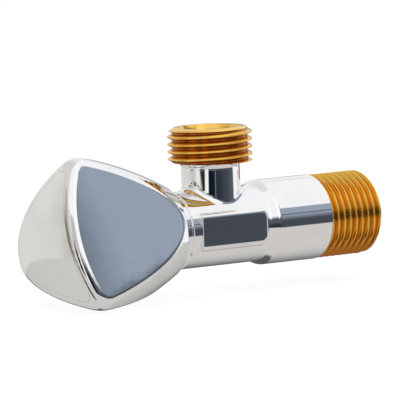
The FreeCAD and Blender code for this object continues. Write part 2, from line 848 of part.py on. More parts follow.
def spline_insert():
    """The insert between the spindle's spline and the knob's hub."""
    outside = about_axis(insert_outline(insert_back, insert_front, 0), facet_rest_angle)
    socket = spline_outline(insert_back + overshoot, insert_front - overshoot, shaft_clearance)
    return outside.cut(socket)


def screw_washer():
    """The washer under the knob screw's head."""
    bore = screw_radius + seat_clearance
    return tube(screw_seat, hub_front, screw_washer_diameter / 2, bore)


def knob_screw():
    """The cap-head screw that holds the knob on the spindle, without its thread."""
    head_end = screw_seat - screw_head_height
    head = drum(head_end, screw_seat, screw_head_diameter / 2)
    head = head.makeFillet(screw_head_round, round_edges_at(head, head_end, screw_head_diameter / 2))
    socket = hexagon(head_end, head_end + screw_socket_depth, screw_socket_across)
    shank = drum(screw_seat, screw_seat + screw_length, screw_radius)
    return head.cut(socket).fuse(shank).removeSplitter()


# ---------------------------------------------------------------- the assembly


def still_pieces():
    """The pieces that stay with the pipe."""
    return {
        "valve_body": valve_body(),
        "bonnet_ring": bonnet_ring(),
        "cartridge_housing": cartridge_housing(),
        "housing_seal": housing_seal(),
        "fixed_disc": fixed_disc(),
        "seat_seal": seat_seal(),
        "seal_support_ring": seal_support_ring(),
    }


def turning_pieces():
    """The pieces that turn with the knob."""
    return {
        "knob_shell": about_axis(knob_shell(), facet_rest_angle),
        "front_cover": about_axis(front_cover(), facet_rest_angle),
        "spline_insert": spline_insert(),
        "knob_screw": knob_screw(),
        "screw_washer": screw_washer(),
        "spindle": spindle(),
        "spindle_seal_outer": spindle_seal(0),
        "spindle_seal_inner": spindle_seal(1),
        "stop_washer": stop_washer(),
        "retaining_clip": retaining_clip(),
        "thrust_washer": thrust_washer(),
        "disc_driver": disc_driver(),
        "turning_disc": turning_disc(),
    }


def export(name, shape):
    """Write one piece, moved so that the origin is where the inlet thread starts."""
    shape.translate(Vector(-thread_start, 0, 0))
    shape.exportStep("parts/" + name + ".step")


os.makedirs("parts", exist_ok=True)
for piece_name, piece_shape in {**still_pieces(), **turning_pieces()}.items():
    export(piece_name, piece_shape)
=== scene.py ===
"""Looks of a quarter-turn angle stop valve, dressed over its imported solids."""

import json
import logging
import math
from dataclasses import dataclass
from enum import Enum
from typing import Any, Callable, Sequence, Union

import bpy
from mathutils import Matrix, Vector
from mathutils.bvhtree import BVHTree
from mathutils.interpolate import poly_3d_calc


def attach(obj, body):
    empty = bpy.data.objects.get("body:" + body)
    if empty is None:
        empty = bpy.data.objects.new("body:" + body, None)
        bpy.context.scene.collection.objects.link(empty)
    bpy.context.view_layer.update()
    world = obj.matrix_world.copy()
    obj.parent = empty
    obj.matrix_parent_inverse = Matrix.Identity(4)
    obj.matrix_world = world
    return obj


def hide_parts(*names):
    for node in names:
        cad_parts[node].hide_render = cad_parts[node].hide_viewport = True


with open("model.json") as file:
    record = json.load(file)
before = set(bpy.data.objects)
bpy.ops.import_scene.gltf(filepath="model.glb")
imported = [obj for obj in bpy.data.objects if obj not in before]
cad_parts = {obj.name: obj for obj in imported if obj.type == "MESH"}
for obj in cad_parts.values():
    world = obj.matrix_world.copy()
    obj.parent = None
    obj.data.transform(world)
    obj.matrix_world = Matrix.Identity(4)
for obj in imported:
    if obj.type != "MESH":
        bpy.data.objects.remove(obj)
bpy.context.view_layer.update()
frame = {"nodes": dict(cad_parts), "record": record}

LOG = logging.getLogger("angle_valve")
Point = tuple[float, float]
Colour = tuple[float, float, float]
Number = Union[int, float]
Scale = tuple[float, float, float]

MM = 0.001
FULL_TURN = 2 * math.pi
# Vertices nearer to each other than this, in metres, are merged: first those of a copy of
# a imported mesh, then those of a new piece.
PACKED_WELD = 1e-6
WELD = 1e-7
# How deep, in metres, the finishes' fine relief goes.
RELIEF = 0.02 * MM


class Body(Enum):
    """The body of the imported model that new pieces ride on."""

    VALVE = "valve"


class Slot(Enum):
    """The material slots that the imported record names."""

    PLATED_BODY = "plated_body"
    PLATED_KNOB = "plated_knob"
    TURNED_BRASS = "turned_brass"
    SEAL_RUBBER = "seal_rubber"
    ALUMINA = "alumina"
    MOULDED_ACETAL = "moulded_acetal"
    MOULDED_INSERT = "moulded_insert"
    STAINLESS = "stainless"


class Way(Enum):
    """A pipe end's direction, with the vectors of its own lathe frame."""

    INLET = "inlet"
    OUTLET = "outlet"

    @property
    def along(self) -> Vector:
        """The direction that the pipe end points in."""
        return Vector((1, 0, 0)) if self is Way.INLET else Vector((0, 0, 1))

    @property
    def across(self) -> Vector:
        """The direction in which a lathe outline has its radius."""
        return Vector((0, 0, 1)) if self is Way.INLET else Vector((1, 0, 0))


def linear(red: int, green: int, blue: int) -> Colour:
    """A colour in linear light.

    Args:
        red: Red of the colour as a screen shows it, 0 to 255.
        green: Green, 0 to 255.
        blue: Blue, 0 to 255.

    Returns:
        The three channels in linear light, 0 to 1.
    """

    def channel(value: int) -> float:
        """One channel in linear light."""
        share = value / 255
        return share / 12.92 if share <= 0.04045 else ((share + 0.055) / 1.055) ** 2.4

    return channel(red), channel(green), channel(blue)


# ---------------------------------------------------------------- shader maths


class Sock:
    """A shader socket that can be used in Python expressions."""

    def __init__(self, graph: "Graph", socket: bpy.types.NodeSocket) -> None:
        """Wrap a socket of a graph."""
        self.graph = graph
        self.socket = socket

    def _maths(self, operation: str, *values: "Value") -> "Sock":
        """A Math node's result on the given values."""
        return self.graph.node("ShaderNodeMath", {"operation": operation}, dict(enumerate(values)))

    def __add__(self, other: "Value") -> "Sock":
        """Sum."""
        return self._maths("ADD", self, other)

    def __sub__(self, other: "Value") -> "Sock":
        """Difference."""
        return self._maths("SUBTRACT", self, other)

    def __mul__(self, other: "Value") -> "Sock":
        """Product."""
        return self._maths("MULTIPLY", self, other)

    def __truediv__(self, other: "Value") -> "Sock":
        """Quotient."""
        return self._maths("DIVIDE", self, other)

    def __radd__(self, other: "Value") -> "Sock":
        """Sum with the socket second."""
        return self._maths("ADD", other, self)

    def __rsub__(self, other: "Value") -> "Sock":
        """Difference with the socket second."""
        return self._maths("SUBTRACT", other, self)

    def above(self, edge: Number, softness: Number) -> "Sock":
        """A mask that rises from 0 to 1 round an edge.

        Args:
            edge: The value at which the mask is one half.
            softness: How far the value goes while the mask rises.

        Returns:
            The mask.
        """
        settings = {"interpolation_type": "SMOOTHSTEP"}
        values = {0: self, 1: edge - softness / 2, 2: edge + softness / 2}
        return self.graph.node("ShaderNodeMapRange", settings, values)

    def size(self) -> "Sock":
        """Value without its sign."""
        return self._maths("ABSOLUTE", self)


Value = Union[Sock, Number, Sequence[float]]


class Graph:
    """The node tree of one material or world."""

    def __init__(self, tree: bpy.types.NodeTree) -> None:
        """Start with an empty tree."""
        self.tree = tree
        tree.nodes.clear()

    def node(
        self,
        kind: str,
        settings: dict[str, Any] | None = None,
        values: dict[Any, Value] | None = None,
        output: int | str = 0,
    ) -> Sock:
        """Add a node.

        Args:
            kind: The node's type.
            settings: Its settings, which are set first. A key "stops" fills a colour ramp.
            values: What goes into its sockets, by name or number: values or other sockets.
            output: The output that is wanted.

        Returns:
            That output.
        """
        made = self.tree.nodes.new(kind)
        for name, setting in (settings or {}).items():
            if name == "stops":
                self._fill_ramp(made.color_ramp, setting)
            else:
                setattr(made, name, setting)
        for name, value in (values or {}).items():
            target = made.inputs[name]
            if isinstance(value, Sock):
                self.tree.links.new(value.socket, target)
            elif target.type == "RGBA" and len(value) == 3:
                target.default_value = (*value, 1)
            else:
                target.default_value = value
        return Sock(self, made.outputs[output])

    @staticmethod
    def _fill_ramp(ramp: bpy.types.ColorRamp, stops: Sequence[tuple[float, Colour]]) -> None:
        """Give a colour ramp its stops."""
        while len(ramp.elements) < len(stops):
            ramp.elements.new(1.0)
        for element, (place, colour) in zip(ramp.elements, stops):
            element.position = place
            element.color = (*colour, 1)

    def places(
        self, shift: Sequence[float] = (0, 0, 0), scale: Sequence[float] = (1, 1, 1)
    ) -> Sock:
        """Places on the object in metres.

        Args:
            shift: What is added to a place after it is scaled.
            scale: What a place is multiplied by.

        Returns:
            The place as a vector.
        """
        place = self.node("ShaderNodeTexCoord", output="Object")
        values = {"Vector": place, "Location": shift, "Scale": scale}
        return self.node("ShaderNodeMapping", {}, values)

    def noise(self, place: Sock, scale: float, detail: float = 3, roughness: float = 0.55) -> Sock:
        """Cloudy noise, 0 to 1."""
        values = {"Vector": place, "Scale": scale, "Detail": detail, "Roughness": roughness}
        return self.node("ShaderNodeTexNoise", {}, values)

    def mix(self, mask: Value, first: Value, second: Value, blend: str = "MIX") -> Sock:
        """Two colours mixed by a mask."""
        settings = {"data_type": "RGBA", "blend_type": blend}
        return self.node("ShaderNodeMix", settings, {0: mask, 6: first, 7: second}, output=2)

    def bump(self, height: Sock, strength: float) -> Sock:
        """A normal from the height of a fine relief."""
        values = {"Height": height, "Strength": strength, "Distance": RELIEF}
        return self.node("ShaderNodeBump", {}, values)

    def surface(self, values: dict[str, Value]) -> None:
        """End the tree in one physically based surface."""
        shader = self.node("ShaderNodeBsdfPrincipled", {}, values)
        self.end_in("ShaderNodeOutputMaterial", shader)

    def end_in(self, kind: str, shader: Sock) -> None:
        """End the tree in a shader."""
        made = self.tree.nodes.new(kind)
        self.tree.links.new(shader.socket, made.inputs["Surface"])

    def radius_mm(self, way: Way, centre: Sequence[float] = (0, 0, 0)) -> Sock:
        """Distance from a pipe end's axis in millimetres.

        Args:
            way: The pipe end.
            centre: A point of its axis in metres.

        Returns:
            The distance.
        """
        flat = (0, 1 / MM, 1 / MM) if way is Way.INLET else (1 / MM, 1 / MM, 0)
        shift = [-part * size for part, size in zip(centre, flat)]
        values = {0: self.places(shift, flat)}
        return self.node("ShaderNodeVectorMath", {"operation": "LENGTH"}, values, output="Value")

    def station_mm(self, way: Way) -> Sock:
        """Place along a pipe end's axis in millimetres."""
        values = {0: self.places(scale=(1 / MM, 1 / MM, 1 / MM)), 1: way.along}
        settings = {"operation": "DOT_PRODUCT"}
        return self.node("ShaderNodeVectorMath", settings, values, output="Value")


def new_graph(name: str) -> tuple[bpy.types.Material, Graph]:
    """An empty node material and its graph."""
    material = bpy.data.materials.new(name)
    material.use_nodes = True
    return material, Graph(material.node_tree)


# ---------------------------------------------------------------- finishes


@dataclass(frozen=True)
class PlatedChrome:
    """Bright nickel-chrome plate with polishing haze and hairlines."""

    tint: Colour = (0.900, 0.905, 0.915)
    haze: Colour = (0.845, 0.850, 0.865)
    roughness: float = 0.035
    haze_roughness: float = 0.085
    hairline_roughness: float = 0.03
    cloud_edge: float = 0.56
    smear_edge: float = 0.6
    hairline_edge: float = 0.68
    ripple: float = 0.05
    cloud_scale: float = 130
    ripple_scale: float = 420
    smear_scale: Scale = (260, 900, 900)
    hairline_scale: Scale = (9000, 700, 700)

    def material(self, name: str) -> bpy.types.Material:
        """The finish as a material."""
        material, graph = new_graph(name)
        place = graph.places()
        cloud = graph.noise(place, self.cloud_scale, 4)
        smear = graph.noise(graph.places(scale=self.smear_scale), 1, 3, 0.6)
        hairline = graph.noise(graph.places(scale=self.hairline_scale), 1, 2)
        worn = cloud.above(self.cloud_edge, 0.3) * 0.6 + smear.above(self.smear_edge, 0.3) * 0.4
        colour = graph.mix(worn, self.tint, self.haze)
        rough = self.roughness + worn * (self.haze_roughness - self.roughness)
        rough = rough + hairline.above(self.hairline_edge, 0.1) * self.hairline_roughness
        height = graph.noise(place, self.ripple_scale, 2) * 0.8 + hairline * 0.2
        graph.surface(
            {
                "Base Color": colour,
                "Metallic": 1.0,
                "Roughness": rough,
                "Normal": graph.bump(height, self.ripple),
            }
        )
        return material


@dataclass(frozen=True)
class TurnedBrass:
    """Bare brass from the lathe: tool marks, pale crests that are partly worn and partly a
    painted highlight, and valleys darkened by painted shade.

    Radii and heights are in millimetres. Below a set height the threaded brass is darkened
    by painted shade: a brown shade colour multiplies the others.
    """

    # Pale crests: partly wear and partly a painted highlight. The plain turned surfaces take this
    # colour too.
    crest: Colour = linear(255, 228, 134)
    flank: Colour = linear(238, 182, 68)
    # Painted shade: the darker colour put into the thread's valleys.
    shaded_valley: Colour = linear(168, 94, 34)
    # Painted shade: a brown colour that multiplies the threaded brass towards the bottom.
    painted_underside_shade: Colour = (0.54, 0.30, 0.18)
    bore_radius: float = 9.1
    valley_radius: float = 9.75
    crest_radius: float = 10.34
    # The height at which the painted underside shade is half faded, and how far it takes to fade.
    shade_height: float = -6.5
    shade_over: float = 6
    patch_edge: float = 0.62
    patch_share: float = 0.4
    roughness: float = 0.13
    patch_roughness: float = 0.07
    mark_roughness: float = 0.05
    tool_marks: float = 0.25
    patch_scale: float = 240
    grain_scale: float = 1500
    mark_scale: float = 2600
    mark_scale_across: float = 90

    def material(
        self, name: str, way: Way, centre: Sequence[float], thread_end: float
    ) -> bpy.types.Material:
        """The finish as a material.

        Args:
            name: The material's name.
            way: The direction of the turned axis.
            centre: A point of that axis in metres.
            thread_end: The station, in millimetres, past which the end is turned bright.

        Returns:
            The material.
        """
        material, graph = new_graph(name)
        place = graph.places()
        radius = graph.radius_mm(way, centre)
        patches = graph.noise(place, self.patch_scale, 4)
        turned_bright = graph.station_mm(way).above(thread_end, 0.3)
        threaded = radius.above(self.bore_radius, 0.1) * (1 - turned_bright)
        # Towards the thread's roots the colour is darkened by painted shade, patchily.
        deep = threaded * (1 - radius.above(self.valley_radius, 0.6))
        # The crests, partly worn and partly a painted highlight, and the plain turned surfaces
        # take the pale colour.
        worn = radius.above(self.crest_radius, 0.2) + (1 - threaded)
        colour = graph.mix(worn, self.flank, self.crest)
        colour = graph.mix(deep * (0.7 + patches * 0.5), colour, self.shaded_valley)
        dulled = patches.above(self.patch_edge, 0.3) * self.patch_share
        colour = graph.mix(dulled, colour, self.flank)
        # Painted shade: the threaded brass is darker towards the bottom, by multiplying its
        # colour.
        upper = graph.station_mm(Way.OUTLET).above(self.shade_height, self.shade_over)
        colour = graph.mix((1 - upper) * threaded, colour, self.painted_underside_shade, "MULTIPLY")
        fine, coarse = self.mark_scale, self.mark_scale_across
        squash = (fine, coarse, coarse) if way is Way.INLET else (coarse, coarse, fine)
        tool_marks = graph.noise(graph.places(scale=squash), 1, 3, 0.65)
        rough = self.roughness + patches * self.patch_roughness + tool_marks * self.mark_roughness
        marks = tool_marks * 0.7 + graph.noise(place, self.grain_scale, 3) * 0.3
        graph.surface(
            {
                "Base Color": colour,
                "Metallic": 1.0,
                "Roughness": rough,
                "Normal": graph.bump(marks, self.tool_marks),
            }
        )
        return material


@dataclass(frozen=True)
class Satin:
    """A plain non-metal with cloudy colour and a fine skin.

    Its colour goes from low to high, and its roughness up from roughness by spread.
    """

    low: Colour
    high: Colour
    roughness: float
    spread: float
    grain: float
    cloud_scale: float = 400
    grain_scale: float = 4000

    def material(self, name: str) -> bpy.types.Material:
        """The finish as a material."""
        material, graph = new_graph(name)
        place = graph.places()
        cloud = graph.noise(place, self.cloud_scale, 4)
        skin = graph.noise(place, self.grain_scale, 3)
        graph.surface(
            {
                "Base Color": graph.mix(cloud.above(0.5, 0.5), self.low, self.high),
                "Roughness": self.roughness + skin * self.spread,
                "Normal": graph.bump(skin * 0.7 + cloud * 0.3, self.grain),
            }
        )
        return material


@dataclass(frozen=True)
class TurnedSteel:
    """Stainless steel with the rings that turning leaves."""

    low: Colour = (0.50, 0.50, 0.51)
    high: Colour = (0.66, 0.66, 0.67)
    roughness: float = 0.22
    spread: float = 0.16
    tool_marks: float = 0.3
    ring_scale: Scale = (5200, 260, 260)
    cloud_scale: float = 600

    def material(self, name: str) -> bpy.types.Material:
        """The finish as a material."""
        material, graph = new_graph(name)
        rings = graph.noise(graph.places(scale=self.ring_scale), 1, 3)
        cloud = graph.noise(graph.places(), self.cloud_scale, 3)
        graph.surface(
            {
                "Base Color": graph.mix(cloud.above(0.5, 0.4), self.low, self.high),
                "Metallic": 1.0,
                "Roughness": self.roughness + rings * self.spread,
                "Normal": graph.bump(rings * 0.8 + cloud * 0.2, self.tool_marks),
            }
        )
        return material


# ---------------------------------------------------------------- bench work


class Bench:
    """Modelling steps as they are done by hand, one selected piece at a time."""

    # How near in metres, and how nearly parallel, a face lies to the one it was cut from.
    SAME_PLACE = 1e-6
    SAME_WAY = 0.9

    @staticmethod
    def put_down() -> None:
        """Deselect everything, as before a new primitive is added."""
        bpy.ops.object.select_all(action="DESELECT")

    @classmethod
    def pick(cls, piece: bpy.types.Object) -> None:
        """Select one piece alone and make it active."""
        cls.put_down()
        piece.select_set(True)
        bpy.context.view_layer.objects.active = piece

    @staticmethod
    def mode(name: str) -> None:
        """Go to object or edit mode."""
        bpy.ops.object.mode_set(mode=name)

    @classmethod
    def copy_of(cls, node: str, name: str) -> bpy.types.Object:
        """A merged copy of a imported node's mesh.

        Args:
            node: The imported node.
            name: The copy's name.

        Returns:
            The copy, with its doubles merged.
        """
        source = frame["nodes"][node]
        piece = bpy.data.objects.new(name, source.data.copy())
        bpy.context.scene.collection.objects.link(piece)
        piece.data.name = name
        cls.pick(piece)
        cls.mode("EDIT")
        bpy.ops.mesh.select_all(action="SELECT")
        bpy.ops.mesh.remove_doubles(threshold=PACKED_WELD)
        cls.mode("OBJECT")
        return piece

    @classmethod
    def trace(
        cls, name: str, points: Sequence[Point], way: Way, foot: Sequence[float], closed: bool
    ) -> bpy.types.Object:
        """Trace an outline in the plane of a lathe axis.

        Args:
            name: The piece's name.
            points: The outline as (station, radius) in millimetres.
            way: The direction of the axis.
            foot: The point of the axis, in metres, from which stations count.
            closed: Whether the outline comes back to its first point.

        Returns:
            The piece, an outline of edges.
        """
        corners = [Vector(foot) + way.along * (x * MM) + way.across * (r * MM) for x, r in points]
        cls.put_down()
        bpy.ops.mesh.primitive_plane_add(size=MM, location=corners[0])
        piece = bpy.context.active_object
        piece.name = piece.data.name = name
        bpy.ops.object.transform_apply(location=True, rotation=True, scale=True)
        cls.mode("EDIT")
        bpy.ops.mesh.select_all(action="SELECT")
        bpy.ops.mesh.merge(type="CENTER")
        stops = corners[1:] + corners[:1] if closed else corners[1:]
        for start, end in zip(corners, stops):
            bpy.ops.mesh.extrude_region_move(TRANSFORM_OT_translate={"value": end - start})
        bpy.ops.mesh.select_all(action="SELECT")
        bpy.ops.mesh.remove_doubles(threshold=WELD)
        cls.mode("OBJECT")
        return piece

    @classmethod
    def lathe(
        cls, name: str, points: Sequence[Point], way: Way, foot: Sequence[float], steps: int
    ) -> bpy.types.Object:
        """Turn a closed outline round a lathe axis into a solid ring.

        Args:
            name: The piece's name.
            points: The outline as (station, radius) in millimetres, never at radius 0.
            way: The direction of the axis.
            foot: The point of the axis, in metres, from which stations count.
            steps: How many steps go round.

        Returns:
            The turned piece.
        """
        piece = cls.trace(name, points, way, foot, closed=True)
        cls.mode("EDIT")
        bpy.ops.mesh.select_all(action="SELECT")
        bpy.ops.mesh.spin(steps=steps, angle=FULL_TURN, center=foot, axis=way.along)
        bpy.ops.mesh.select_all(action="SELECT")
        bpy.ops.mesh.remove_doubles(threshold=WELD)
        bpy.ops.mesh.normals_make_consistent(inside=False)
        cls.mode("OBJECT")
        return piece

    @classmethod
    def modifier(cls, piece: bpy.types.Object, kind: str, settings: dict[str, Any]) -> None:
        """Add a modifier, set it and apply it."""
        cls.pick(piece)
        made = piece.modifiers.new(kind.title(), kind)
        for name, value in settings.items():
            setattr(made, name, value)
        bpy.ops.object.modifier_apply(modifier=made.name)

    @classmethod
    def cut(
        cls, piece: bpy.types.Object, point: Vector, normal: Vector, fill: bool = False
    ) -> None:
        """Cut off what lies on the far side of a plane.

        Args:
            piece: The piece.
            point: A point of the plane.
            normal: The direction in which the far side lies.
            fill: Whether a face closes the cut.
        """
        cls.pick(piece)
        cls.mode("EDIT")
        bpy.ops.mesh.select_all(action="SELECT")
        bpy.ops.mesh.bisect(
            plane_co=point, plane_no=normal, clear_outer=True, use_fill=fill, threshold=WELD
        )
        cls.mode("OBJECT")

    @classmethod
    def close_ring(cls, piece: bpy.types.Object, test: Callable[[Vector], bool]) -> None:
        """Bridge the two open loops that lie where a test says.

        Args:
            piece: The piece.
            test: Whether a vertex at a place is part of the loops.
        """
        cls.pick(piece)
        cls.mode("EDIT")
        bpy.ops.mesh.select_mode(type="EDGE")
        bpy.ops.mesh.select_all(action="DESELECT")
        bpy.ops.mesh.select_non_manifold(
            extend=False, use_wire=False, use_multi_face=False, use_verts=False
        )
        cls.mode("OBJECT")
        places = piece.data.vertices
        for edge in piece.data.edges:
            if edge.select and not all(test(places[index].co) for index in edge.vertices):
                edge.select = False
        cls.mode("EDIT")
        bpy.ops.mesh.bridge_edge_loops()
        bpy.ops.mesh.select_all(action="SELECT")
        bpy.ops.mesh.normals_make_consistent(inside=False)
        bpy.ops.mesh.select_mode(type="VERT")
        cls.mode("OBJECT")

    @classmethod
    def smooth(cls, piece: bpy.types.Object, angle: float) -> None:
        """Shade smooth up to an angle in degrees."""
        cls.pick(piece)
        bpy.ops.object.shade_smooth_by_angle(angle=math.radians(angle))

    @classmethod
    def borrow_normals(cls, piece: bpy.types.Object, node: str) -> None:
        """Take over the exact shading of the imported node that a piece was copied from.

        Every corner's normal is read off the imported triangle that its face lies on. Faces
        that lie on none, such as those that close a cut, keep their own.

        Args:
            piece: The copy, which may have been cut since.
            node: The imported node.
        """
        source = frame["nodes"][node].data
        places = [vertex.co.copy() for vertex in source.vertices]
        shading = [normal.vector.copy() for normal in source.corner_normals]
        tree = BVHTree.FromPolygons(places, [tuple(face.vertices) for face in source.polygons])
        normals = [Vector(normal.vector) for normal in piece.data.corner_normals]
        for face in piece.data.polygons:
            _, outward, index, distance = tree.find_nearest(face.center)
            if distance > cls.SAME_PLACE or outward.dot(face.normal) < cls.SAME_WAY:
                continue
            triangle = source.polygons[index]
            corners = [places[vertex] for vertex in triangle.vertices]
            for loop, vertex in zip(face.loop_indices, face.vertices):
                shares = poly_3d_calc(corners, piece.data.vertices[vertex].co)
                mixed = Vector((0, 0, 0))
                for corner, share in zip(triangle.loop_indices, shares):
                    mixed += shading[corner] * share
                normals[loop] = mixed.normalized()
        piece.data.normals_split_custom_set(normals)


def dress(piece: bpy.types.Object, materials: Sequence[bpy.types.Material]) -> None:
    """Give a piece its materials."""
    piece.data.materials.clear()
    for material in materials:
        piece.data.materials.append(material)


def hand_over(piece: bpy.types.Object, body: Body, slot: Slot, *nodes: str) -> None:
    """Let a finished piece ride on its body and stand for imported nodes."""
    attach(piece, body.value)
    if nodes:
        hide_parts(*nodes)
    LOG.info("%s: %d faces on %s", piece.name, len(piece.data.polygons), body.value)


# ---------------------------------------------------------------- threads


@dataclass
class PipeThread:
    """A right-hand pipe thread with rounded crests and roots, in millimetres."""

    crest_radius: float = 10.4775
    pitch: float = 1.814
    flank_angle: float = 27.5
    crest_rounding: float = 0.249
    root_rounding: float = 0.249
    arc_steps: int = 5
    around: int = 144

    @property
    def depth(self) -> float:
        """The height from root to crest that the roundings leave of the sharp form."""
        flank = math.radians(self.flank_angle)
        rounded_off = (self.crest_rounding + self.root_rounding) * (1 / math.sin(flank) - 1)
        return self.pitch / 2 / math.tan(flank) - rounded_off

    def form(self) -> list[Point]:
        """One pitch of the thread's outline, from crest to crest, as (station, radius)."""
        flank = math.radians(self.flank_angle)
        bend = math.pi / 2 - flank
        crest, root = [], []
        for step in range(self.arc_steps + 1):
            turn = bend * step / self.arc_steps
            sideways, drop = math.sin(turn), 1 - math.cos(turn)
            top = self.crest_radius - self.crest_rounding * drop
            crest.append((self.crest_rounding * sideways, top))
            floor = self.crest_radius - self.depth + self.root_rounding * drop
            root.append((self.pitch / 2 - self.root_rounding * sideways, floor))
        half = crest + root[::-1]
        other = [(self.pitch - x, r) for x, r in half[::-1]]
        return half + other[1:]

    def rod(
        self, name: str, way: Way, foot: Vector, start: float, end: float, crest: float
    ) -> bpy.types.Object:
        """A closed threaded rod.

        Args:
            name: The rod's name.
            way: The direction of its axis.
            foot: The point of the axis, in metres, from which stations count.
            start: The station of its back end.
            end: The station of its front end.
            crest: The station of one crest on the side that the outline is traced on.

        Returns:
            The rod.
        """
        first = crest - self.pitch * math.ceil((crest - start) / self.pitch + 2)
        turns = math.ceil((end - first) / self.pitch) + 1
        points = [(first + x, r) for x, r in self.form()]
        rod = Bench.trace(name, points, way, (0, 0, 0), closed=False)
        Bench.modifier(
            rod,
            "SCREW",
            {
                "axis": "X" if way is Way.INLET else "Z",
                "object": None,
                "screw_offset": self.pitch * MM,
                "iterations": turns,
                "steps": self.around,
                "render_steps": self.around,
                "use_merge_vertices": True,
                "merge_threshold": WELD,
                "use_smooth_shade": False,
            },
        )
        Bench.cut(rod, way.along * (end * MM), way.along, fill=True)
        Bench.cut(rod, way.along * (start * MM), -way.along, fill=True)
        rod.location = foot
        Bench.pick(rod)
        bpy.ops.object.transform_apply(location=True, rotation=False, scale=False)
        Bench.mode("EDIT")
        bpy.ops.mesh.select_all(action="SELECT")
        bpy.ops.mesh.remove_doubles(threshold=WELD)
        bpy.ops.mesh.normals_make_consistent(inside=False)
        Bench.mode("OBJECT")
        return rod


@dataclass
class PipeBlank:
    """A pipe end before its thread is cut, in millimetres along its axis and off it."""

    back: float
    front: float
    bore_radius: float
    mouth_radius: float
    mouth_depth: float
    rim_radius: float
    ledge: float = 0.0
    ledge_radius: float = 0.0
    lead_in: float = 1.1
    outer_radius: float = 10.4775

    def outline(self) -> list[Point]:
        """The blank's closed outline as (station, radius)."""
        bore_start = self.back + self.ledge
        ledge = [(self.back, self.ledge_radius), (bore_start, self.ledge_radius)]
        return [
            *(ledge if self.ledge else []),
            (bore_start, self.bore_radius),
            (self.front - self.mouth_depth, self.bore_radius),
            (self.front, self.mouth_radius),
            (self.front, self.rim_radius),
            (self.front - self.lead_in, self.outer_radius),
            (self.back, self.outer_radius),
        ]


@dataclass
class ThreadedEnd:
    """One pipe end: a turned blank with its waterway, and the thread cut on it.

    A crest passes the station crest at crest_turn degrees round from the outline.
    """

    name: str
    way: Way
    foot: Vector
    blank: PipeBlank
    thread: PipeThread
    crest: float
    crest_turn: float = 0.0
    overrun: float = 1.0
    sharp_angle: float = 38.0

    def build(self) -> bpy.types.Object:
        """Turn the blank and keep what a threaded rod leaves of it.

        Returns:
            The threaded end.
        """
        back, front = self.blank.back - self.overrun, self.blank.front + self.overrun
        crest = self.crest - self.thread.pitch * self.crest_turn / 360
        rod = self.thread.rod(self.name + "_rod", self.way, self.foot, back, front, crest)
        outline = self.blank.outline()
        end = Bench.lathe(self.name, outline, self.way, self.foot, self.thread.around)
        settings = {"operation": "INTERSECT", "object": rod, "solver": "EXACT"}
        Bench.modifier(end, "BOOLEAN", settings)
        bpy.data.objects.remove(rod)
        Bench.smooth(end, self.sharp_angle)
        return end

    def dress(self, end: bpy.types.Object, brass: bpy.types.Material) -> None:
        """Leave the end in bare brass."""
        dress(end, [brass])
        hand_over(end, Body.VALVE, Slot.TURNED_BRASS)


# ---------------------------------------------------------------- the valve's body


@dataclass
class ForgedBody:
    """The plated body between its two brass ends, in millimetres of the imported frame."""

    sleeve_end: float = -0.9
    outlet_axis: float = -29.9
    neck_top: float = 16.3
    bore_radius: float = 8.2
    neck_bore_radius: float = 5.2
    cut_margin: float = 0.001
    loop_margin: float = 0.01
    sharp_angle: float = 28.0

    def build(self) -> bpy.types.Object:
        """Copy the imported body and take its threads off.

        Returns:
            The body without its threaded ends.
        """
        body = Bench.copy_of("valve_body", "plated_valve_body")
        sleeve_cut = (self.sleeve_end + self.cut_margin) * MM
        neck_cut = (self.neck_top - self.cut_margin) * MM
        Bench.cut(body, Vector((sleeve_cut, 0, 0)), Way.INLET.along)
        Bench.cut(body, Vector((0, 0, neck_cut)), Way.OUTLET.along)
        sleeve_loops = (self.sleeve_end - self.loop_margin) * MM
        neck_loops = (self.neck_top - self.loop_margin) * MM
        Bench.close_ring(body, lambda place: place.x > sleeve_loops)
        Bench.close_ring(body, lambda place: place.z > neck_loops)
        Bench.smooth(body, self.sharp_angle)
        Bench.borrow_normals(body, "valve_body")
        return body

    def is_wet(self, place: Vector) -> bool:
        """Whether a place is inside the waterway, where the plating stops."""
        radius = math.hypot(place.y, place.z)
        neck = math.hypot(place.x - self.outlet_axis * MM, place.y)
        in_bore = radius < self.bore_radius * MM
        in_neck = neck < self.neck_bore_radius * MM and place.z > 0
        return in_bore or in_neck

    def dress(
        self, body: bpy.types.Object, plate: bpy.types.Material, brass: bpy.types.Material
    ) -> None:
        """Plate the outside and leave the waterway in brass."""
        dress(body, [plate, brass])
        for face in body.data.polygons:
            face.material_index = int(self.is_wet(face.center))
        hand_over(body, Body.VALVE, Slot.PLATED_BODY, "valve_body")


# ---------------------------------------------------------------- studio


WHITE = (1.0, 1.0, 1.0)


def towards(azimuth: float, elevation: float) -> Vector:
    """The direction of an azimuth, counted from -Y towards +X, and an elevation."""
    a, e = math.radians(azimuth), math.radians(elevation)
    return Vector((math.sin(a) * math.cos(e), -math.cos(a) * math.cos(e), math.sin(e)))


def ramp_place(azimuth: Any) -> Any:
    """Where an azimuth, a number or a socket in degrees, lies on a ramp all round."""
    return (azimuth + 180) / 360


@dataclass(frozen=True)
class Ring:
    """What stands all round the valve from one elevation upwards, in degrees."""

    foot: float
    softness: float
    walls: tuple[tuple[float, Colour], ...]

    def stops(self) -> list[tuple[float, Colour]]:
        """Ramp stops from walls at azimuths."""
        return [(ramp_place(azimuth), colour) for azimuth, colour in self.walls]


